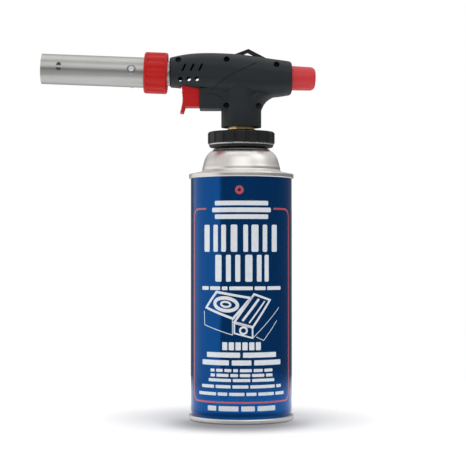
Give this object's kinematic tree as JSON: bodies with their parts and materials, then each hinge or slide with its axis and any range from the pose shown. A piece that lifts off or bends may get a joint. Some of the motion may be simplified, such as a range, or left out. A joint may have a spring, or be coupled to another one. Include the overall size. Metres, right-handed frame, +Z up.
{
  "type": "butane torch",
  "caption": "Piezo-lit butane blow torch twisted onto its gas cartridge, with an air ring, a trigger and a gas knob.",
  "frame": {"origin": "centre of the cartridge's base rim, on the surface it stands on", "axes": "+Z up along the cartridge's axis, the flame leaves towards -X, the gas knob is at +X, and -Y is the torch's left side with the trigger in front"},
  "size_m": [0.1797, 0.0684, 0.2415],
  "materials": {
    "blue_lacquer": "gloss printed lacquer",
    "tinplate": "bright rolled tinplate",
    "stainless": "drawn stainless, fine lengthwise grain",
    "zinc_steel": "zinc plated",
    "black_steel": "black oxide",
    "brass": "turned",
    "charcoal_plastic": "moulded, satin",
    "black_plastic": "moulded",
    "red_plastic": "moulded, satin gloss",
    "white_plastic": "moulded",
    "rubber": "moulded",
    "ceramic": "glazed"
  },
  "bodies": {
    "canister": {"can_body": "blue_lacquer", "can_bottom": "tinplate", "can_dome": "tinplate", "valve_cup": "tinplate", "bayonet_flange": "tinplate", "valve_gasket": "rubber", "valve_housing": "white_plastic", "valve_spring": "zinc_steel", "eductor_tube": "white_plastic"},
    "can_valve": {"valve_stem": "white_plastic"},
    "torch_head": {"collar": "black_plastic", "claw_plate": "zinc_steel", "guide_ring": "black_plastic", "plate_screws": "zinc_steel", "valve_block": "brass", "inlet_seal": "rubber", "gland_nut": "brass", "jet_tube": "brass", "jet_holder": "zinc_steel", "jet": "brass", "mixing_tube": "stainless", "flame_holder": "stainless", "flame_tube": "stainless", "flame_tube_screws": "zinc_steel", "hanging_loop": "black_plastic", "housing_left": "charcoal_plastic", "housing_right": "charcoal_plastic", "housing_screws": "black_steel", "piezo_body": "black_plastic", "trigger_spring": "zinc_steel", "electrode_insulator": "ceramic", "electrode": "stainless", "ignition_wire": "rubber"},
    "trigger_body": {"trigger": "red_plastic", "piezo_plunger": "white_plastic"},
    "air_control": {"air_ring": "red_plastic", "air_shutter": "zinc_steel"},
    "valve_travel": {"spindle_o_ring": "rubber"},
    "gas_control": {"spindle": "brass", "knob": "red_plastic"}
  },
  "joints": [
    {"name": "stem_press", "type": "slide", "parent": "canister", "child": "can_valve", "axis": [0, 0, 1], "range_m": [-0.0008, 0], "stiffness_N_per_m": 800, "springref_m": 0.002, "deforming": ["valve_spring"]},
    {"name": "bayonet_turn", "type": "hinge", "parent": "canister", "child": "torch_head", "pos_m": [0, 0, 0.18], "axis": [0, 0, 1], "range_deg": [0, 40]},
    {"name": "trigger_pull", "type": "slide", "parent": "torch_head", "child": "trigger_body", "axis": [1, 0, 0], "range_m": [0, 0.005], "stiffness_N_per_m": 1500, "springref_m": -0.001, "deforming": ["trigger_spring"]},
    {"name": "air_turn", "type": "hinge", "parent": "torch_head", "child": "air_control", "pos_m": [-0.05576, 0, 0.22589], "axis": [0.9993, 0, -0.0375], "range_deg": [-30, 30]},
    {"name": "valve_lift", "type": "slide", "parent": "torch_head", "child": "valve_travel", "axis": [0.9993, 0, -0.0375], "range_m": [0, 0.00087]},
    {"name": "knob_turn", "type": "hinge", "parent": "valve_travel", "child": "gas_control", "pos_m": [0.03997, 0, 0.2223], "axis": [0.9993, 0, -0.0375], "range_deg": [0, 450]}
  ],
  "couplings": [
    {"joint": "knob_turn", "follows": "valve_lift", "rad_per_m": 8976}
  ]
}
